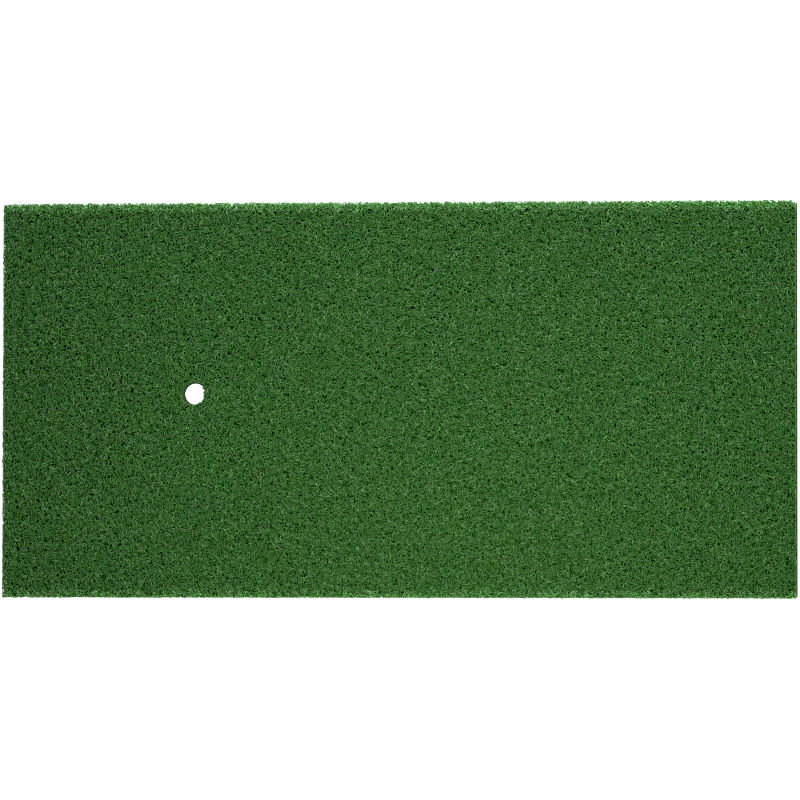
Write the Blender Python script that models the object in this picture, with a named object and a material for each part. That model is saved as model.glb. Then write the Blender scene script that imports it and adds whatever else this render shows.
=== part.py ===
"""Golf hitting mat: a sheet of tufted turf on a black cushion, with one punched hole for a tee.

Run it with  blender --background --python part.py  or from Blender's text editor.

The mat is a laminate of five sheets cut to one outline, listed from the floor up: anti-slip base,
foam pad, latex precoat, primary backing and turf pile. The frame is in metres with +Z up. The origin
is the centre of the underside, +X runs along the length and +Y across the width.
"""

import math

import bmesh
import bpy

# Driving dimensions, in metres.
LENGTH = 0.600
WIDTH = 0.2965
CORNER_RADIUS = 0.0015
CORNER_SEGMENTS = 3
GLUE_LINE = 0.0003  # left open between two sheets, where the film of adhesive is

BASE_THICKNESS = 0.0015
FOAM_THICKNESS = 0.005
PRECOAT_THICKNESS = 0.0008
BACKING_THICKNESS = 0.0005
PILE_HEIGHT = 0.010

# The knife frees the last stitches at the two cut ends, so the pile starts a little inside them.
PILE_END_INSET = 0.0005

# The tee hole is punched through every sheet at once.
TEE_X = -0.155
TEE_Y = 0.0053
TEE_RADIUS = 0.008
TEE_SEGMENTS = 48

# The underside is ribbed along the length, so that it grips a floor.
RIB_PITCH = 0.012
GROOVE_WIDTH = 0.002
GROOVE_DEPTH = 0.0006

# How far a cutter stands out of what it cuts.
CUTTER_OVERRUN = 0.005

# name: (base colour, roughness)
MATERIALS = {
    "black_rubber": ((0.012, 0.012, 0.012), 0.75),
    "black_foam": ((0.018, 0.018, 0.019), 0.90),
    "latex": ((0.035, 0.034, 0.032), 0.60),
    "woven_polypropylene": ((0.013, 0.105, 0.008), 0.65),
    "green_yarn": ((0.045, 0.135, 0.035), 0.60),
}

# From the floor up: name, thickness, inset of each end, material.
SHEETS = (
    ("anti_slip_base", BASE_THICKNESS, 0.0, "black_rubber"),
    ("foam_pad", FOAM_THICKNESS, 0.0, "black_foam"),
    ("latex_precoat", PRECOAT_THICKNESS, 0.0, "latex"),
    ("primary_backing", BACKING_THICKNESS, 0.0, "woven_polypropylene"),
    ("turf_pile", PILE_HEIGHT, PILE_END_INSET, "green_yarn"),
)


def clear_scene():
    for obj in list(bpy.data.objects):
        bpy.data.objects.remove(obj, do_unlink=True)


def make_material(name):
    colour, roughness = MATERIALS[name]
    material = bpy.data.materials.new(name)
    material.use_nodes = True
    shader = material.node_tree.nodes["Principled BSDF"]
    shader.inputs["Base Color"].default_value = (*colour, 1.0)
    shader.inputs["Roughness"].default_value = roughness
    shader.inputs["Metallic"].default_value = 0.0
    return material


def add_object(name, bm, location=(0.0, 0.0, 0.0)):
    bmesh.ops.recalc_face_normals(bm, faces=bm.faces)
    mesh = bpy.data.meshes.new(name)
    bm.to_mesh(mesh)
    bm.free()
    obj = bpy.data.objects.new(name, mesh)
    bpy.context.scene.collection.objects.link(obj)
    obj.location = location
    return obj


def rounded_outline(length, width, radius, segments):
    """Points of a rectangle with rounded corners, centred on the origin, anticlockwise."""
    points = []
    corners = ((1, 1, 0.0), (-1, 1, 90.0), (-1, -1, 180.0), (1, -1, 270.0))
    for side_x, side_y, start in corners:
        centre_x = side_x * (length / 2 - radius)
        centre_y = side_y * (width / 2 - radius)
        for step in range(segments + 1):
            angle = math.radians(start + 90.0 * step / segments)
            x = centre_x + radius * math.cos(angle)
            y = centre_y + radius * math.sin(angle)
            points.append((x, y))
    return points


def sheet_mesh(length, width, thickness):
    """The outline as a face at z = 0, extruded upwards into a closed sheet."""
    bm = bmesh.new()
    outline = rounded_outline(length, width, CORNER_RADIUS, CORNER_SEGMENTS)
    face = bm.faces.new([bm.verts.new((x, y, 0.0)) for x, y in outline])
    made = bmesh.ops.extrude_face_region(bm, geom=[face])
    raised = [item for item in made["geom"] if isinstance(item, bmesh.types.BMVert)]
    bmesh.ops.translate(bm, verts=raised, vec=(0.0, 0.0, thickness))
    return bm


def add_cutter(name, bm, location=(0.0, 0.0, 0.0)):
    cutter = add_object(name, bm, location)
    cutter.hide_render = True
    cutter.display_type = "WIRE"
    return cutter


def make_tee_punch(total_height):
    bm = bmesh.new()
    bmesh.ops.create_cone(
        bm,
        cap_ends=True,
        segments=TEE_SEGMENTS,
        radius1=TEE_RADIUS,
        radius2=TEE_RADIUS,
        depth=total_height + 2 * CUTTER_OVERRUN,
    )
    return add_cutter("tee_punch", bm, location=(TEE_X, TEE_Y, total_height / 2))


def make_groove_cutter():
    """One bar for each groove, longer than the mat, standing GROOVE_DEPTH into the base."""
    bm = bmesh.new()
    count = int(WIDTH / RIB_PITCH)
    size = (LENGTH + 2 * CUTTER_OVERRUN, GROOVE_WIDTH, GROOVE_DEPTH + CUTTER_OVERRUN)
    middle_z = (GROOVE_DEPTH - CUTTER_OVERRUN) / 2
    for index in range(count):
        bar = bmesh.ops.create_cube(bm, size=1.0)["verts"]
        bmesh.ops.scale(bm, verts=bar, vec=size)
        y = (index - (count - 1) / 2) * RIB_PITCH
        bmesh.ops.translate(bm, verts=bar, vec=(0.0, y, middle_z))
    return add_cutter("groove_cutter", bm)


def cut(obj, cutter):
    boolean = obj.modifiers.new(cutter.name, "BOOLEAN")
    boolean.operation = "DIFFERENCE"
    boolean.solver = "EXACT"
    boolean.object = cutter


def build_mat():
    clear_scene()
    mat = bpy.data.objects.new("hitting_mat", None)
    bpy.context.scene.collection.objects.link(mat)

    thicknesses = [thickness for _, thickness, _, _ in SHEETS]
    total_height = sum(thicknesses) + GLUE_LINE * (len(SHEETS) - 1)
    punch = make_tee_punch(total_height)
    grooves = make_groove_cutter()

    height = 0.0
    for name, thickness, inset, material in SHEETS:
        bm = sheet_mesh(LENGTH - 2 * inset, WIDTH, thickness)
        sheet = add_object(name, bm, location=(0.0, 0.0, height))
        sheet.parent = mat
        sheet.data.materials.append(make_material(material))
        cut(sheet, punch)
        if name == "anti_slip_base":
            cut(sheet, grooves)
        height += thickness + GLUE_LINE


build_mat()
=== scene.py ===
"""Looks of the golf hitting mat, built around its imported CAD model.

The pile is real geometry: every yarn is a closed, curled tube that grows out of the backing. The foam
pad, the latex and the backing get cut edges of their own, and every visible surface has a procedural
material. Everything is in metres, in the CAD model's frame.
"""

import math
from collections import namedtuple

import bmesh
import bpy
import numpy as np
from mathutils import Matrix, Vector


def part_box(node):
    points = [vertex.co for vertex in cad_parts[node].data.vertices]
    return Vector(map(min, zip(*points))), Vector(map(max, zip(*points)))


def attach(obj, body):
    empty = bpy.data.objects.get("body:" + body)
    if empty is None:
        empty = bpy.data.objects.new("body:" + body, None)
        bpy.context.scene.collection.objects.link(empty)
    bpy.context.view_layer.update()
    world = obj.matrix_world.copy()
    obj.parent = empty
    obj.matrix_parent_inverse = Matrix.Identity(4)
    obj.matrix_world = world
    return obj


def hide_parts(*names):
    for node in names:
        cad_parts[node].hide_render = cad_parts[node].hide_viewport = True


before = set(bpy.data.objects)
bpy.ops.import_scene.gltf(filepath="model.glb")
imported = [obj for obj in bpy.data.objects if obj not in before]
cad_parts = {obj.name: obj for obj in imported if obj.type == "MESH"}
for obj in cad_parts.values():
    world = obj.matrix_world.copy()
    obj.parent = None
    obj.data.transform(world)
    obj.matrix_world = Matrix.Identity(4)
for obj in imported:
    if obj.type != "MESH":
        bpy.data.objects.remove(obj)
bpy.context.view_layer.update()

SEED = 20
TINY = 1e-9  # keeps divisors clear of zero


def grey(value):
    return (value, value, value)


# Pile. Tufts stand in rows along X; each tuft is a bundle of yarns.
TUFT_GAUGE = 0.0019
STITCH_PITCH = 0.0017
YARNS_PER_TUFT = 2
TUFT_JITTER = 0.0004
ROOT_INSET = 0.0006
FAR_ROOT_INSET = 0.00135
ROOT_DEPTH = 0.00025
YARN_SPREAD = 0.0004
YARN_HALF_WIDTH = 0.00042
YARN_HALF_THICKNESS = 0.00028
WIDTH_SPREAD = (0.8, 1.2)
WIDTH_ALONG = ((0.0, 2.8), (0.5, 2.2), (0.75, 1.15), (1.0, 0.5))  # (share of length, share of width)
TUBE_SIDES = 3
BAND_COUNT = 22

# A yarn's path, from root to tip. The angles are measured from straight up.
PATH_STEPS = (0.0034, 0.0030, 0.0010, 0.0009, 0.0009, 0.0009)
ROOT_LEAN_DEG = 10.0
TIP_LEAN_DEG = (80.0, 140.0)
BEND_POWER = (1.6, 3.0)
SWIRL_DEG = (80.0, 300.0)
LOWEST_TOP = 0.75  # share of the pile height that the shortest yarn reaches

# The yarns bring their own UV map, under the name of the map that colours are baked onto. V runs from root
# to tip. U holds the dye lot and, within the lot, the yarn's shade.
# The last lot isn't a dye: it is for fringe yarns, which look brighter because light shines through them.
# Margins keep the shades clear of the next lot, and the roots and tips clear of the map's border.
YARN_UV = "OFBake"
UV_MARGIN = 0.08
UV_EDGE = 0.002
DYE_AND_GLOW_LOTS = 8
FRINGE_LOT = DYE_AND_GLOW_LOTS - 1

# Shades within a lot follow a beta distribution; lots change over the mat in waves.
SHADE_SPREAD = (1.2, 2.3)
LOT_WAVES = 24
LOT_WAVELENGTH = (0.008, 0.060)
LOT_DRIFT = 0.10
LOT_STRAY = 0.06

# Colours of a yarn at a share of its length, then tints that multiply them. The paler, greyer colour at the
# tip is a painted highlight. The tints weaken towards the root, by TINT_ALONG.
YARN_COLOURS = (
    (0.0, (0.080, 0.320, 0.036)),
    (0.35, (0.076, 0.340, 0.034)),
    (0.55, (0.066, 0.330, 0.030)),
    (0.75, (0.079, 0.270, 0.048)),
    (1.0, (0.183, 0.350, 0.124)),
)
SHADE_TINTS = (
    (0.0, (0.62, 0.78, 0.56)),
    (0.5, (0.84, 0.89, 0.84)),
    (1.0, (3.00, 1.95, 3.60)),
)
# Tints of the dye lots. The last, the fringe lot's, is painted light: the glow of yarns that light shines
# through.
DYE_AND_GLOW_TINTS = (
    (0.0, (0.94, 1.00, 1.12)),
    (3.0 / FRINGE_LOT, grey(1.00)),
    (6.0 / FRINGE_LOT, (1.07, 1.00, 0.88)),
    (1.0, (1.35, 1.60, 1.35)),
)
TINT_ALONG = ((0.25, grey(0.30)), (0.60, grey(1.0)))

# The four cut edges: which way is out, how far inside the pile's CAD box the trimming line lies, how far
# yarns may hang over that line, how far their shade goes towards the palest one, and what share of them is
# lit through. That paleness is painted light from the bright floor and surroundings, and the light through
# the yarns is painted too, as the fringe lot's glow. At the right edge the pile is trimmed short, so that
# the black cushion shows as a line.
Edge = namedtuple("Edge", "outward stop overhang paleness lit")
EDGES = {
    "far": Edge((0.0, 1.0), stop=0.0, overhang=0.0018, paleness=0.88, lit=1.0),
    "near": Edge((0.0, -1.0), stop=0.0, overhang=0.0004, paleness=0.90, lit=0.4),
    "left": Edge((-1.0, 0.0), stop=0.0, overhang=0.0004, paleness=0.45, lit=0.0),
    "right": Edge((1.0, 0.0), stop=0.0015, overhang=0.0010, paleness=0.0, lit=0.0),
}

# Widths of the strips along the edges where yarns lean out, are painted pale with the surroundings' light
# and may get the painted glow of light through them, and how the yarns that lean out differ from the rest.
EDGE_LEAN_ZONE = 0.0035
PAINTED_PALE_ZONE = 0.0055
FRINGE_ZONE = 0.0050
EDGE_TIP_LEAN_DEG = (25.0, 75.0)
EDGE_SWIRL_SHARE = 0.25
EDGE_SPREAD_DEG = 35.0

# Rows of frayed yarns that line the cut edges, on top of the regular tufts. The far edge has two.
FRAY_ROWS = ("far", "far", "near", "right", "left")
FRAY_PITCH = 0.0005
FRAY_DEPTH = 0.0012

# Tee hole, as the CAD model has it. The punch leaves the pile ragged: yarns stop short of the rim on
# the side of HOLE_BARE_AZIMUTH_DEG and hang over it on the other side.
TEE_X = -0.155
TEE_Y = 0.0053
TEE_RADIUS = 0.008
HOLE_BARE_AZIMUTH_DEG = 135.0
HOLE_CLEARANCE = 0.0008
HOLE_BARE_GAP = 0.0007
HOLE_OVERHANG = 0.0012
HOLE_RAGGEDNESS = 9.0  # the higher, the fewer yarns hang over
HOLE_SQUEEZE_ZONE = 0.0012

# Cut edges of the sheets under the pile: the spacing of points round the outline, the number of levels
# up the wall, how far the sheet swells past its CAD faces, how far the knife wanders and leans, and in
# waves of what length, the depth of its grain, and how far the top and bottom edges are worn back.
# Everything but the swell pulls the wall back from the CAD outline.
KNIFE_WAVES = 12
FOAM_LOOK = {
    "seed": 32,
    "spacing": 0.0009,
    "levels": 9,
    "swell": 0.0001,
    "wander": 0.0002,
    "lean": 0.0001,
    "wavelengths": (0.015, 0.12),
    "grain": 0.00008,
    "edge_round": 0.0001,
}
LATEX_LOOK = {
    "seed": 30,
    "spacing": 0.0012,
    "levels": 4,
    "swell": 0.00005,
    "wander": 0.0002,
    "lean": 0.0001,
    "wavelengths": (0.003, 0.03),
    "grain": 0.0001,
    "edge_round": 0.0001,
}
BACKING_LOOK = {
    "seed": 33,
    "spacing": 0.0012,
    "levels": 3,
    "swell": 0.0,
    "wander": 0.0010,
    "lean": 0.0,
    "wavelengths": (0.01, 0.06),
    "grain": 0.0002,
    "edge_round": 0.0,
}

# Tapes of the woven backing: their cut ends stick out of the cloth, and stop at about the mat's edge.
TAPE_PITCH = 0.0014
TAPE_WIDTH = 0.0011
TAPE_THICKNESS = 0.00022
TAPE_REACH = (-0.0007, 0.0)
TAPE_STRAY = 0.0001
TAPE_GRIP = 0.0015  # how far a tape's modelled end runs back into the sheet

# Grain of the sheets' materials, in features per metre.
FOAM_CELLS = 1800.0
FOAM_DRAG = 300.0
RUBBER_DUST = 45.0
RUBBER_WEAR = 120.0
RUBBER_GRAIN = 2500.0
LATEX_BLOTCHES = 350.0
LATEX_GRAIN = 900.0
WEAVE_BANDS = 210.0

# Floor and surroundings. The camera sees both as white; on the mat the surroundings shed a faint light.
FLOOR_REACH = 30.0
FLOOR_DROP = 0.0002
FLOOR_TONE = 0.9
FLOOR_GLOW = 0.88
AMBIENT_LIGHT = 0.12
BACKDROP_LIGHT = 1.0

# Softboxes aimed at the middle of the mat, with the length of a side and the power in watts.
Softbox = namedtuple("Softbox", "position size power colour")
SOFTBOXES = {
    "key": Softbox((0.09, -0.19, 0.70), size=0.24, power=3.08, colour=(1.0, 1.0, 0.95)),
    "far_fill": Softbox((0.0, 0.80, 0.50), size=0.60, power=5.2, colour=(0.80, 0.86, 1.0)),
    "side_fill": Softbox((0.60, 0.50, 0.70), size=0.50, power=1.7, colour=(0.93, 1.0, 1.0)),
}

# View: the angles the camera stands off straight overhead, towards +X and towards -Y.
CAMERA_TARGET = (0.0004, 0.0007, 0.0)
CAMERA_DISTANCE = 4.0
CAMERA_REACH = 100.0
CAMERA_TILT_X_DEG = 5.0
CAMERA_TILT_Y_DEG = 2.1
CAMERA_ROLL_DEG = -0.085
CAMERA_LENS = 238.1
CAMERA_SENSOR = 36.0
PIXEL_FILTER = 1.1


def build_material(name, roughness=0.6, specular=0.3):
    """A new material with a plain Principled shader, and its node tree."""
    material = bpy.data.materials.new(name)
    material.use_nodes = True
    tree = material.node_tree
    shader = tree.nodes["Principled BSDF"]
    shader.inputs["Roughness"].default_value = roughness
    shader.inputs["Specular IOR Level"].default_value = specular
    return material, tree, shader


def ramp(tree, source, stops):
    """A colour ramp fed by the socket source; stops is a list of (position, colour)."""
    node = tree.nodes.new("ShaderNodeValToRGB")
    elements = node.color_ramp.elements
    while len(elements) < len(stops):
        elements.new(0.5)
    for element, (position, colour) in zip(elements, stops):
        element.position = position
        element.color = (*colour, 1.0)
    tree.links.new(source, node.inputs[0])
    return node.outputs[0]


def noise(tree, scale, detail, stretch=(1.0, 1.0, 1.0)):
    """Noise over the piece's own coordinates, in features per metre."""
    place = tree.nodes.new("ShaderNodeTexCoord")
    mapping = tree.nodes.new("ShaderNodeMapping")
    mapping.inputs["Scale"].default_value = stretch
    texture = tree.nodes.new("ShaderNodeTexNoise")
    texture.inputs["Scale"].default_value = scale
    texture.inputs["Detail"].default_value = detail
    tree.links.new(place.outputs["Object"], mapping.inputs["Vector"])
    tree.links.new(mapping.outputs["Vector"], texture.inputs["Vector"])
    return texture.outputs["Fac"]


def multiply(tree, first, second):
    mix = tree.nodes.new("ShaderNodeMix")
    mix.data_type = "RGBA"
    mix.blend_type = "MULTIPLY"
    mix.inputs["Factor"].default_value = 1.0
    tree.links.new(first, mix.inputs["A"])
    tree.links.new(second, mix.inputs["B"])
    return mix.outputs["Result"]


def fade_in(tree, tint, amount):
    """Mixes white with tint by the socket amount, so that the tint multiplies fully only where it is 1."""
    mix = tree.nodes.new("ShaderNodeMix")
    mix.data_type = "RGBA"
    mix.inputs["A"].default_value = (1.0, 1.0, 1.0, 1.0)
    tree.links.new(tint, mix.inputs["B"])
    tree.links.new(amount, mix.inputs["Factor"])
    return mix.outputs["Result"]


def arithmetic(tree, operation, source, value=0.0):
    """The result of operation on the socket source and a number or a second socket."""
    node = tree.nodes.new("ShaderNodeMath")
    node.operation = operation
    tree.links.new(source, node.inputs[0])
    if isinstance(value, (int, float)):
        node.inputs[1].default_value = value
    else:
        tree.links.new(value, node.inputs[1])
    return node.outputs[0]


def add_bump(tree, shader, height, distance):
    bump = tree.nodes.new("ShaderNodeBump")
    bump.inputs["Distance"].default_value = distance
    bump.inputs["Strength"].default_value = 1.0
    tree.links.new(height, bump.inputs["Height"])
    tree.links.new(bump.outputs["Normal"], shader.inputs["Normal"])


def yarn_material():
    """Green yarn: colour along its length, tinted by its shade and dye lot, with glossier tips. The pale
    tip colour is a painted highlight, and the fringe lot's tint a painted glow.
    """
    material, tree, shader = build_material("turf_yarn", specular=0.35)
    uv = tree.nodes.new("ShaderNodeUVMap")
    uv.uv_map = YARN_UV
    parts = tree.nodes.new("ShaderNodeSeparateXYZ")
    tree.links.new(uv.outputs["UV"], parts.inputs[0])
    lots = arithmetic(tree, "MULTIPLY", parts.outputs["X"], DYE_AND_GLOW_LOTS)
    within_lot = arithmetic(tree, "FRACT", lots)
    lot = arithmetic(tree, "DIVIDE", arithmetic(tree, "FLOOR", lots), FRINGE_LOT)
    # The pale tip colour along the yarn is a painted highlight.
    along = ramp(tree, parts.outputs["Y"], YARN_COLOURS)
    shade = ramp(tree, within_lot, SHADE_TINTS)
    # The fringe lot's tint is painted glow of light through the yarns.
    tint = ramp(tree, lot, DYE_AND_GLOW_TINTS)
    strength = ramp(tree, parts.outputs["Y"], TINT_ALONG)
    colour = multiply(tree, along, fade_in(tree, multiply(tree, shade, tint), strength))
    tree.links.new(colour, shader.inputs["Base Color"])
    gloss = ramp(tree, within_lot, [(0.0, grey(0.70)), (1.0, grey(0.48))])
    tree.links.new(gloss, shader.inputs["Roughness"])
    sheen = ramp(tree, parts.outputs["Y"], [(0.5, grey(0.0)), (0.85, grey(0.35))])
    tree.links.new(sheen, shader.inputs["Specular IOR Level"])
    return material


def foam_material():
    """Black closed-cell foam: cut cells all over, darker at their sunken middles as painted shade, and a
    faint drag along the knife's path.
    """
    material, tree, shader = build_material("foam", roughness=0.9, specular=0.2)
    cells = tree.nodes.new("ShaderNodeTexVoronoi")
    cells.inputs["Scale"].default_value = FOAM_CELLS
    place = tree.nodes.new("ShaderNodeTexCoord")
    tree.links.new(place.outputs["Object"], cells.inputs["Vector"])
    # Darker where the bump sinks each cell: painted shade in the cut cells' hollows.
    tone = ramp(tree, cells.outputs["Distance"], [(0.0, grey(0.012)), (0.7, (0.048, 0.048, 0.050))])
    drag = noise(tree, FOAM_DRAG, detail=4.0, stretch=(0.3, 0.3, 4.0))
    drag_tone = ramp(tree, drag, [(0.3, grey(0.7)), (0.7, grey(1.25))])
    tree.links.new(multiply(tree, tone, drag_tone), shader.inputs["Base Color"])
    add_bump(tree, shader, cells.outputs["Distance"], distance=0.0003)
    return material


def rubber_material():
    """Matte black rubber sheet with a fine calendered grain and a little floor dust."""
    material, tree, shader = build_material("base_rubber", roughness=0.75, specular=0.35)
    dust = noise(tree, RUBBER_DUST, detail=6.0)
    tone = ramp(tree, dust, [(0.35, grey(0.009)), (0.75, (0.024, 0.023, 0.022))])
    tree.links.new(tone, shader.inputs["Base Color"])
    wear = noise(tree, RUBBER_WEAR, detail=4.0)
    tree.links.new(ramp(tree, wear, [(0.3, grey(0.62)), (0.7, grey(0.86))]), shader.inputs["Roughness"])
    add_bump(tree, shader, noise(tree, RUBBER_GRAIN, detail=2.0), distance=0.00012)
    return material


def latex_material():
    """Dark latex that dried in blotches, with a lumpy surface."""
    material, tree, shader = build_material("latex", roughness=0.6, specular=0.4)
    blotches = noise(tree, LATEX_BLOTCHES, detail=5.0)
    tone = ramp(tree, blotches, [(0.3, (0.018, 0.018, 0.016)), (0.7, (0.048, 0.046, 0.042))])
    tree.links.new(tone, shader.inputs["Base Color"])
    add_bump(tree, shader, noise(tree, LATEX_GRAIN, detail=4.0), distance=0.0002)
    return material


def backing_material():
    """Flat-tape weave: two crossed bands, one along X and one along Y, darker where they sit low as painted
    shade between the tapes.
    """
    material, tree, shader = build_material("backing_weave", roughness=0.8, specular=0.05)
    place = tree.nodes.new("ShaderNodeTexCoord")
    heights = []
    for direction in ("X", "Y"):
        wave = tree.nodes.new("ShaderNodeTexWave")
        wave.bands_direction = direction
        wave.inputs["Scale"].default_value = WEAVE_BANDS
        tree.links.new(place.outputs["Object"], wave.inputs["Vector"])
        heights.append(wave.outputs["Fac"])
    weave = arithmetic(tree, "MAXIMUM", *heights)
    # Darker where the weave sits low: painted shade between the tapes.
    tone = ramp(tree, weave, [(0.3, (0.050, 0.260, 0.024)), (1.0, (0.070, 0.320, 0.032))])
    tree.links.new(tone, shader.inputs["Base Color"])
    add_bump(tree, shader, weave, distance=0.0002)
    return material


def frayed_row(rng, outward, first, last):
    """Roots of extra yarns along one side of the root area, up to FRAY_DEPTH inside it."""
    across = 0 if outward[0] else 1
    along = 1 - across
    places = np.arange(first[along], last[along], FRAY_PITCH)
    side = last[across] if outward[across] > 0 else first[across]
    row = np.empty((len(places), 2))
    row[:, along] = places
    row[:, across] = side - outward[across] * rng.uniform(0.0, FRAY_DEPTH, len(places))
    return row


def tuft_roots(rng, low, high):
    """Root of every yarn: a jittered grid of tufts and the frayed edge rows, clear of the tee hole."""
    first = (low.x + ROOT_INSET, low.y + ROOT_INSET)
    last = (high.x - ROOT_INSET, high.y - FAR_ROOT_INSET)
    stitches = np.arange(first[0], last[0], STITCH_PITCH)
    rows = np.arange(first[1], last[1], TUFT_GAUGE)
    grid = np.stack(np.meshgrid(stitches, rows), -1).reshape(-1, 2)
    grid += rng.uniform(-TUFT_JITTER, TUFT_JITTER, grid.shape)
    roots = np.repeat(grid, YARNS_PER_TUFT, axis=0)
    roots += rng.normal(0.0, YARN_SPREAD, roots.shape)
    frays = [frayed_row(rng, EDGES[name].outward, first, last) for name in FRAY_ROWS]
    roots = np.clip(np.concatenate([roots, *frays]), first, last)
    away = np.hypot(roots[:, 0] - TEE_X, roots[:, 1] - TEE_Y)
    return roots[away > TEE_RADIUS + YARN_HALF_WIDTH]


def distance_to_edge(points, outward, low, high):
    """How far points lie inside the cut edge that faces outward."""
    corner = np.array([high.x if outward[0] > 0 else low.x, high.y if outward[1] > 0 else low.y])
    return (corner - points) @ np.array(outward)


def lean_directions(rng, roots, low, high):
    """The way each yarn leans, and whether it splays: any way inside the mat, outwards at its edges."""
    azimuth = rng.uniform(-math.pi, math.pi, len(roots))
    splayed = np.zeros(len(roots), bool)
    for edge in EDGES.values():
        distance = distance_to_edge(roots, edge.outward, low, high)
        leans_out = rng.random(len(roots)) < 1.0 - distance / EDGE_LEAN_ZONE
        spread = rng.normal(0.0, math.radians(EDGE_SPREAD_DEG), len(roots))
        heading = math.atan2(edge.outward[1], edge.outward[0])
        azimuth = np.where(leans_out, heading + spread, azimuth)
        splayed |= leans_out
    return azimuth, splayed


def painted_edge_paleness(roots, low, high):
    """How far each yarn's shade goes towards the palest one: painted light from the bright surroundings at
    the cut edges.
    """
    paleness = np.zeros(len(roots))
    for edge in EDGES.values():
        closeness = 1.0 - distance_to_edge(roots, edge.outward, low, high) / PAINTED_PALE_ZONE
        paleness = np.maximum(paleness, edge.paleness * np.clip(closeness, 0.0, 1.0))
    return paleness


def yarn_paths(rng, roots, azimuth, splayed, low, high):
    """Centre line of every yarn, as an array of yarn, point, xyz, and each point's share of its length."""
    count = len(roots)
    steps = np.array(PATH_STEPS)
    share = np.concatenate([[0.0], np.cumsum(steps)]) / steps.sum()
    middle = (share[:-1] + share[1:]) / 2
    start = np.radians(np.abs(rng.normal(0.0, ROOT_LEAN_DEG, count)))
    end = np.radians(rng.uniform(*TIP_LEAN_DEG, count))
    end = np.where(splayed, np.radians(rng.uniform(*EDGE_TIP_LEAN_DEG, count)), end)
    power = rng.uniform(*BEND_POWER, count)
    swirl = np.radians(rng.uniform(*SWIRL_DEG, count)) * rng.choice([-1.0, 1.0], count)
    swirl = np.where(splayed, swirl * EDGE_SWIRL_SHARE, swirl)
    lean = start[:, None] + (end - start)[:, None] * middle[None, :] ** power[:, None]
    turn = azimuth[:, None] + swirl[:, None] * middle[None, :] ** 2
    direction = np.stack([np.sin(lean) * np.cos(turn), np.sin(lean) * np.sin(turn), np.cos(lean)], -1)
    path = np.zeros((count, len(share), 3))
    path[:, 1:] = np.cumsum(direction * steps[None, :, None], axis=1)

    room = high.z - low.z - YARN_HALF_WIDTH
    top = ROOT_DEPTH + room * rng.uniform(LOWEST_TOP, 1.0, count)
    path[:, :, 2] *= (top / path[:, :, 2].max(axis=1))[:, None]
    path[:, :, :2] += roots[:, None]
    path[:, :, 2] += low.z - ROOT_DEPTH
    return path, share


def soft_limit(beyond, most):
    """Squeezes what stands beyond an edge, so that it nears most and never reaches it."""
    return np.where(beyond > 0.0, most * (1.0 - np.exp(-np.maximum(beyond, 0.0) / most)), beyond)


def trim_edges(path, low, high):
    """Draws in the yarns that hang too far over a cut edge."""
    for edge in EDGES.values():
        beyond = edge.stop - distance_to_edge(path[:, :, :2], edge.outward, low, high)
        move = soft_limit(beyond, edge.overhang) - beyond
        path[:, :, :2] += move[:, :, None] * np.array(edge.outward)


def clear_hole(rng, path):
    """Pushes the yarns out of the tee hole, apart from the few that hang over its rim."""
    offset = path[:, :, :2] - np.array([TEE_X, TEE_Y])
    away = np.maximum(np.linalg.norm(offset, axis=-1), TINY)
    bearing = np.arctan2(offset[:, :, 1], offset[:, :, 0]) - math.radians(HOLE_BARE_AZIMUTH_DEG)
    bare = 0.5 + 0.5 * np.cos(bearing)
    ragged = rng.uniform(0.0, 1.0, (len(path), 1)) ** HOLE_RAGGEDNESS
    nearest = TEE_RADIUS + HOLE_CLEARANCE + bare * HOLE_BARE_GAP - (1.0 - bare) * HOLE_OVERHANG * ragged
    free = nearest + HOLE_SQUEEZE_ZONE
    cleared = free - soft_limit(free - away, HOLE_SQUEEZE_ZONE)
    path[:, :, :2] = np.array([TEE_X, TEE_Y]) + offset * (cleared / away)[:, :, None]


def dye_and_glow_lots(rng, roots, low, high):
    """A lot number for every yarn. Lots drift over the mat in soft patches, with some yarns astray. Near
    the cut edges some yarns take the fringe lot instead, whose tint is painted glow of light shining
    through them.
    """
    waves = np.zeros(len(roots))
    for _ in range(LOT_WAVES):
        heading = rng.uniform(0.0, 2 * math.pi)
        length = rng.uniform(*LOT_WAVELENGTH)
        run = roots @ np.array([math.cos(heading), math.sin(heading)])
        waves += np.sin(2 * math.pi * run / length + rng.uniform(0.0, 2 * math.pi))
    waves /= math.sqrt(LOT_WAVES / 2)
    drift = 0.5 + LOT_DRIFT * waves + LOT_STRAY * rng.normal(0.0, 1.0, len(roots))
    lots = np.clip((drift * FRINGE_LOT).astype(int), 0, FRINGE_LOT - 1)
    # Fringe lot by the edges: painted glow of light shining through the yarns.
    for edge in EDGES.values():
        closeness = 1.0 - distance_to_edge(roots, edge.outward, low, high) / FRINGE_ZONE
        lots = np.where(rng.random(len(roots)) < edge.lit * closeness, FRINGE_LOT, lots)
    return lots


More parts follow.
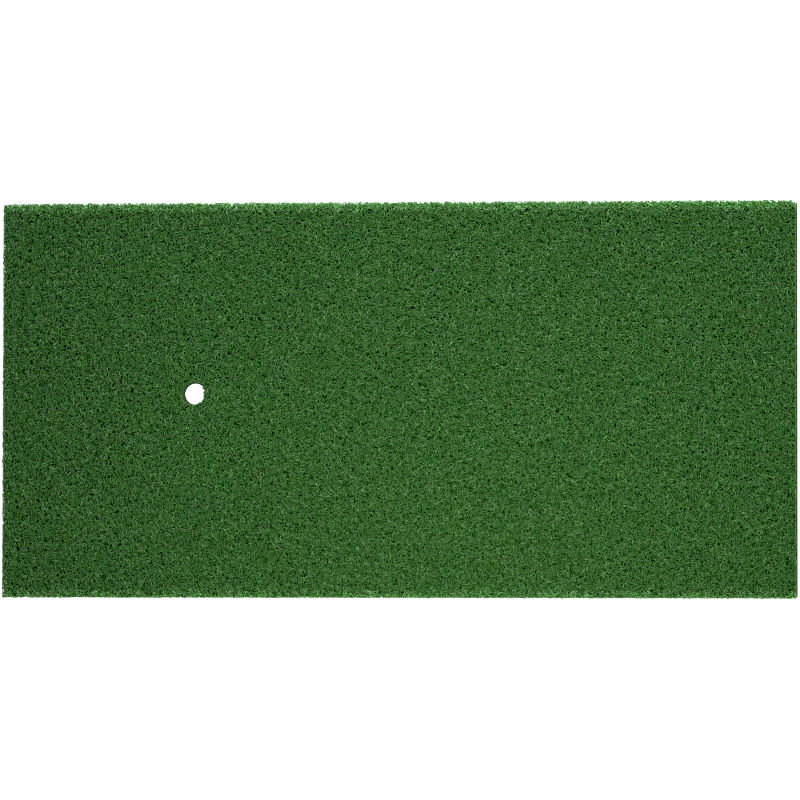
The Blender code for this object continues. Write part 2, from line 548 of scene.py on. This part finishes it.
def tube_vertices(rng, path, share):
    """Rings of vertices round each path, as an array of yarn, vertex, xyz."""
    count, rings, _ = path.shape
    tangent = np.gradient(path, axis=1)
    tangent /= np.maximum(np.linalg.norm(tangent, axis=-1, keepdims=True), TINY)
    twist = rng.uniform(0.0, 2 * math.pi, count)
    reference = np.stack([np.cos(twist), np.sin(twist), np.zeros(count)], -1)
    side = np.cross(tangent, reference[:, None, :])
    side /= np.maximum(np.linalg.norm(side, axis=-1, keepdims=True), TINY)
    normal = np.cross(side, tangent)
    taper = np.interp(share, *zip(*WIDTH_ALONG))
    width = YARN_HALF_WIDTH * rng.uniform(*WIDTH_SPREAD, count)
    vertices = np.empty((count, rings, TUBE_SIDES, 3))
    for corner in range(TUBE_SIDES):
        angle = 2 * math.pi * corner / TUBE_SIDES
        across = side * (math.cos(angle) * width[:, None] * taper)[:, :, None]
        up = normal * (math.sin(angle) * YARN_HALF_THICKNESS * taper)[None, :, None]
        vertices[:, :, corner] = path + across + up
    return vertices.reshape(count, rings * TUBE_SIDES, 3)


def tube_faces(rings):
    """Triangles of one closed tube, as indices into its vertices."""
    faces = []
    for ring in range(rings - 1):
        for corner in range(TUBE_SIDES):
            a = ring * TUBE_SIDES + corner
            b = ring * TUBE_SIDES + (corner + 1) % TUBE_SIDES
            faces += [(a, b, b + TUBE_SIDES), (a, b + TUBE_SIDES, a + TUBE_SIDES)]
    last = (rings - 1) * TUBE_SIDES
    faces += [(2, 1, 0), (last, last + 1, last + 2)]
    return np.array(faces)


def tube_uv(rng, faces, share, lots, paleness):
    """UV of each corner of each yarn's faces: the lot and shade along U, the place on the yarn along V."""
    shade = rng.beta(*SHADE_SPREAD, len(lots))
    # Near the cut edges the shade moves towards the palest one: painted light from the bright surroundings.
    shade = UV_MARGIN + (shade + (1.0 - shade) * paleness) * (1.0 - 2 * UV_MARGIN)
    around = UV_MARGIN * 0.5 * np.array([-1.0, 0.0, 1.0])[faces % TUBE_SIDES].ravel()
    u = (lots[:, None] + shade[:, None] + around) / DYE_AND_GLOW_LOTS
    v = np.broadcast_to(share[faces // TUBE_SIDES].ravel(), u.shape)
    return np.stack([u, v * (1.0 - 2 * UV_EDGE) + UV_EDGE], -1)


def mesh_from_arrays(name, vertices, faces, uv):
    """A smooth mesh of triangles with the yarns' UV map."""
    mesh = bpy.data.meshes.new(name)
    mesh.vertices.add(len(vertices))
    mesh.vertices.foreach_set("co", vertices.astype(np.float32).ravel())
    mesh.loops.add(faces.size)
    mesh.loops.foreach_set("vertex_index", faces.astype(np.int32).ravel())
    mesh.polygons.add(len(faces))
    mesh.polygons.foreach_set("loop_start", np.arange(0, faces.size, 3, dtype=np.int32))
    mesh.update(calc_edges=True)
    mesh.validate()
    layer = mesh.uv_layers.new(name=YARN_UV)
    layer.data.foreach_set("uv", uv.astype(np.float32).ravel())
    mesh.shade_smooth()
    return mesh


def add_piece(name, mesh, material, node):
    """Puts a mesh in the place of a CAD node."""
    piece = bpy.data.objects.new(name, mesh)
    bpy.context.scene.collection.objects.link(piece)
    mesh.materials.append(material)
    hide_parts(node)
    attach(piece, "root")


def build_pile():
    """All the yarns, in bands along X that each stay small enough to export whole."""
    low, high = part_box("turf_pile")
    rng = np.random.default_rng(SEED)
    roots = tuft_roots(rng, low, high)
    azimuth, splayed = lean_directions(rng, roots, low, high)
    path, share = yarn_paths(rng, roots, azimuth, splayed, low, high)
    trim_edges(path, low, high)
    clear_hole(rng, path)
    lots = dye_and_glow_lots(rng, roots, low, high)
    vertices = tube_vertices(rng, path, share)
    one_tube = tube_faces(len(share))
    uv = tube_uv(rng, one_tube, share, lots, painted_edge_paleness(roots, low, high))
    material = yarn_material()
    order = np.argsort(roots[:, 0], kind="stable")
    for number, chosen in enumerate(np.array_split(order, BAND_COUNT), start=1):
        name = f"pile_band_{number:02d}"
        offsets = np.arange(len(chosen))[:, None, None] * vertices.shape[1]
        faces = (one_tube[None] + offsets).reshape(-1, 3)
        mesh = mesh_from_arrays(name, vertices[chosen].reshape(-1, 3), faces, uv[chosen])
        add_piece(name, mesh, material, "turf_pile")


def rectangle_outline(low, high, spacing):
    """Points round a sheet's cut outline, anticlockwise, and the outward direction at each."""
    xs = np.linspace(low.x, high.x, round((high.x - low.x) / spacing) + 1)
    ys = np.linspace(low.y, high.y, round((high.y - low.y) / spacing) + 1)
    sides = (
        (np.stack([xs, np.full(len(xs), low.y)], -1), (0.0, -1.0)),
        (np.stack([np.full(len(ys), high.x), ys], -1), (1.0, 0.0)),
        (np.stack([xs[::-1], np.full(len(xs), high.y)], -1), (0.0, 1.0)),
        (np.stack([np.full(len(ys), low.x), ys[::-1]], -1), (-1.0, 0.0)),
    )
    points = np.concatenate([side[:-1] for side, _ in sides])
    outward = np.concatenate([np.tile(way, (len(side) - 1, 1)) for side, way in sides])
    corner = np.cumsum([0] + [len(side) - 1 for side, _ in sides[:-1]])
    outward[corner] = (outward[corner] + outward[corner - 1]) / math.sqrt(2)
    return points, outward


def hole_outline(spacing):
    """Points round the tee hole, clockwise, and the direction from the material into the hole at each."""
    count = round(2 * math.pi * TEE_RADIUS / spacing)
    angles = -2 * math.pi * np.arange(count) / count
    out = np.stack([np.cos(angles), np.sin(angles)], -1)
    return np.array([TEE_X, TEE_Y]) + out * TEE_RADIUS, -out


def knife_wander(rng, count, look, depth):
    """How far a knife strays at each of count points: smooth waves that close on themselves, 0 to depth."""
    run = np.arange(count) * look["spacing"]
    around = count * look["spacing"]
    waves = np.zeros(count)
    for _ in range(KNIFE_WAVES):
        turns = max(1, round(around / rng.uniform(*look["wavelengths"])))
        waves += np.sin(2 * math.pi * (turns * run / around + rng.random()))
    return depth * (0.5 + 0.5 * waves / np.abs(waves).max())


def cut_wall(rng, points, outward, heights, look):
    """A wall's rings of points, from the bottom up, pulled back from the outline by the cut's marks."""
    count = len(points)
    top = len(heights) - 1
    wander = knife_wander(rng, count, look, look["wander"])
    lean = knife_wander(rng, count, look, look["lean"])
    rings = []
    for level, height in enumerate(heights):
        back = wander + lean * level / top + look["grain"] * rng.random(count)
        if level in (0, top):
            back += look["edge_round"]
        rings.append(np.column_stack([points - outward * back[:, None], np.full(count, height)]))
    return rings


def ring_edges(bm, ring):
    """The edges between the vertices of a closed ring."""
    return [bm.edges.get(pair) for pair in zip(ring, ring[1:] + ring[:1])]


def add_wall(bm, levels):
    """Faces up a wall. Returns the edges of its lowest ring and of its highest."""
    rings = [[bm.verts.new(point) for point in level] for level in levels]
    for lower, upper in zip(rings, rings[1:]):
        for corners in zip(lower, lower[1:] + lower[:1], upper[1:] + upper[:1], upper):
            bm.faces.new(corners)
    return ring_edges(bm, rings[0]), ring_edges(bm, rings[-1])


def finished_mesh(bm, name):
    mesh = bpy.data.meshes.new(name)
    bm.to_mesh(mesh)
    bm.free()
    return mesh


def cut_sheet(name, node, look):
    """A sheet with a knife-cut edge and a punched hole, in the space of its CAD node."""
    low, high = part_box(node)
    rng = np.random.default_rng(look["seed"])
    heights = np.linspace(low.z - look["swell"], high.z + look["swell"], look["levels"])
    bm = bmesh.new()
    bottom = []
    top = []
    for points, outward in (rectangle_outline(low, high, look["spacing"]), hole_outline(look["spacing"])):
        lowest, highest = add_wall(bm, cut_wall(rng, points, outward, heights, look))
        bottom += lowest
        top += highest
    bmesh.ops.triangle_fill(bm, use_beauty=True, edges=bottom)
    bmesh.ops.triangle_fill(bm, use_beauty=True, edges=top)
    bmesh.ops.recalc_face_normals(bm, faces=bm.faces)
    return finished_mesh(bm, name)


def tape_ends(name, low, high):
    """One flat box for each tape that the knife cut, over one tape and under the next."""
    rng = np.random.default_rng(SEED)
    bm = bmesh.new()
    middle = (low.z + high.z) / 2
    lift = (high.z - low.z - TAPE_THICKNESS) / 2
    for along, across in ((0, 1), (1, 0)):
        places = np.arange(low[along] + TAPE_PITCH, high[along] - TAPE_PITCH, TAPE_PITCH)
        for side, edge in ((-1.0, low[across]), (1.0, high[across])):
            for index, place in enumerate(places):
                reach = rng.uniform(*TAPE_REACH)
                size = np.empty(3)
                size[along] = TAPE_WIDTH
                size[across] = TAPE_GRIP + reach
                size[2] = TAPE_THICKNESS
                centre = np.empty(3)
                centre[along] = place + rng.normal(0.0, TAPE_STRAY)
                centre[across] = edge + side * (reach - TAPE_GRIP) / 2
                centre[2] = middle + lift * (1.0 if index % 2 else -1.0)
                matrix = Matrix.Translation(centre) @ Matrix.Diagonal((*size, 1.0))
                bmesh.ops.create_cube(bm, size=1.0, matrix=matrix)
    return finished_mesh(bm, name)


def dress_base():
    """The CAD base keeps its shape and gets the rubber material."""
    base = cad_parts["anti_slip_base"]
    base.data.materials.clear()
    base.data.materials.append(rubber_material())


def build_sheets():
    """The foam pad, the latex coat, and the backing with the ends of its tapes."""
    foam = cut_sheet("foam_cushion", "foam_pad", FOAM_LOOK)
    add_piece("foam_cushion", foam, foam_material(), "foam_pad")
    latex = cut_sheet("latex_coat", "latex_precoat", LATEX_LOOK)
    add_piece("latex_coat", latex, latex_material(), "latex_precoat")
    weave = backing_material()
    cloth = cut_sheet("backing_cloth", "primary_backing", BACKING_LOOK)
    add_piece("backing_cloth", cloth, weave, "primary_backing")
    tapes = tape_ends("backing_tape_ends", *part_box("primary_backing"))
    add_piece("backing_tape_ends", tapes, weave, "primary_backing")


def build_floor():
    """A plain white table, lit from within, so that it stays white in the tee hole too."""
    material, _, shader = build_material("floor", roughness=0.9)
    shader.inputs["Base Color"].default_value = (FLOOR_TONE, FLOOR_TONE, FLOOR_TONE, 1.0)
    shader.inputs["Emission Color"].default_value = (1.0, 1.0, 1.0, 1.0)
    shader.inputs["Emission Strength"].default_value = FLOOR_GLOW
    mesh = bpy.data.meshes.new("floor")
    low, high = -FLOOR_REACH, FLOOR_REACH
    corners = [(low, low, 0.0), (high, low, 0.0), (high, high, 0.0), (low, high, 0.0)]
    mesh.from_pydata(corners, [], [(0, 1, 2, 3)])
    mesh.materials.append(material)
    floor = bpy.data.objects.new("floor", mesh)
    floor.location.z = -FLOOR_DROP
    bpy.context.scene.collection.objects.link(floor)


def add_softbox(name, look):
    """A square light that faces the middle of the mat."""
    lamp = bpy.data.lights.new(name, "AREA")
    lamp.shape = "SQUARE"
    lamp.size = look.size
    lamp.energy = look.power
    lamp.color = look.colour
    softbox = bpy.data.objects.new(name, lamp)
    softbox.location = look.position
    softbox.rotation_euler = (-Vector(look.position)).to_track_quat("-Z", "Y").to_euler()
    softbox.visible_camera = False
    bpy.context.scene.collection.objects.link(softbox)


def build_world():
    """Faint even light on the mat, from surroundings that the camera sees as white as the floor."""
    world = bpy.data.worlds.new("studio")
    bpy.context.scene.world = world
    world.use_nodes = True
    tree = world.node_tree
    background = tree.nodes["Background"]
    background.inputs["Color"].default_value = (1.0, 1.0, 1.0, 1.0)
    ray = tree.nodes.new("ShaderNodeLightPath")
    strength = tree.nodes.new("ShaderNodeMapRange")
    strength.inputs["To Min"].default_value = AMBIENT_LIGHT
    strength.inputs["To Max"].default_value = BACKDROP_LIGHT
    tree.links.new(ray.outputs["Is Camera Ray"], strength.inputs["Value"])
    tree.links.new(strength.outputs["Result"], background.inputs["Strength"])


def build_camera():
    """A long lens a few degrees off straight overhead."""
    camera = bpy.data.cameras.new("camera")
    camera.lens = CAMERA_LENS
    camera.sensor_width = CAMERA_SENSOR
    camera.clip_end = CAMERA_REACH
    obj = bpy.data.objects.new("camera", camera)
    across = math.radians(CAMERA_TILT_X_DEG)
    along = math.radians(CAMERA_TILT_Y_DEG)
    backward = Vector((math.tan(across), -math.tan(along), 1.0)).normalized()
    roll = math.radians(CAMERA_ROLL_DEG)
    right = Vector((math.sin(roll), math.cos(roll), 0.0)).cross(backward).normalized()
    up = backward.cross(right)
    axes = Matrix((right, up, backward)).transposed().to_4x4()
    position = Vector(CAMERA_TARGET) + backward * CAMERA_DISTANCE
    obj.matrix_world = Matrix.Translation(position) @ axes
    bpy.context.scene.collection.objects.link(obj)
    bpy.context.scene.camera = obj


def set_film():
    """Plain colours and sharp yarns: a denoiser would smear them, and a wide filter would soften them."""
    scene = bpy.context.scene
    scene.view_settings.view_transform = "Standard"
    scene.cycles.use_denoising = False
    scene.cycles.filter_width = PIXEL_FILTER


dress_base()
build_sheets()
build_pile()
build_floor()
build_world()
for softbox_name, softbox_look in SOFTBOXES.items():
    add_softbox(softbox_name, softbox_look)
build_camera()
set_film()
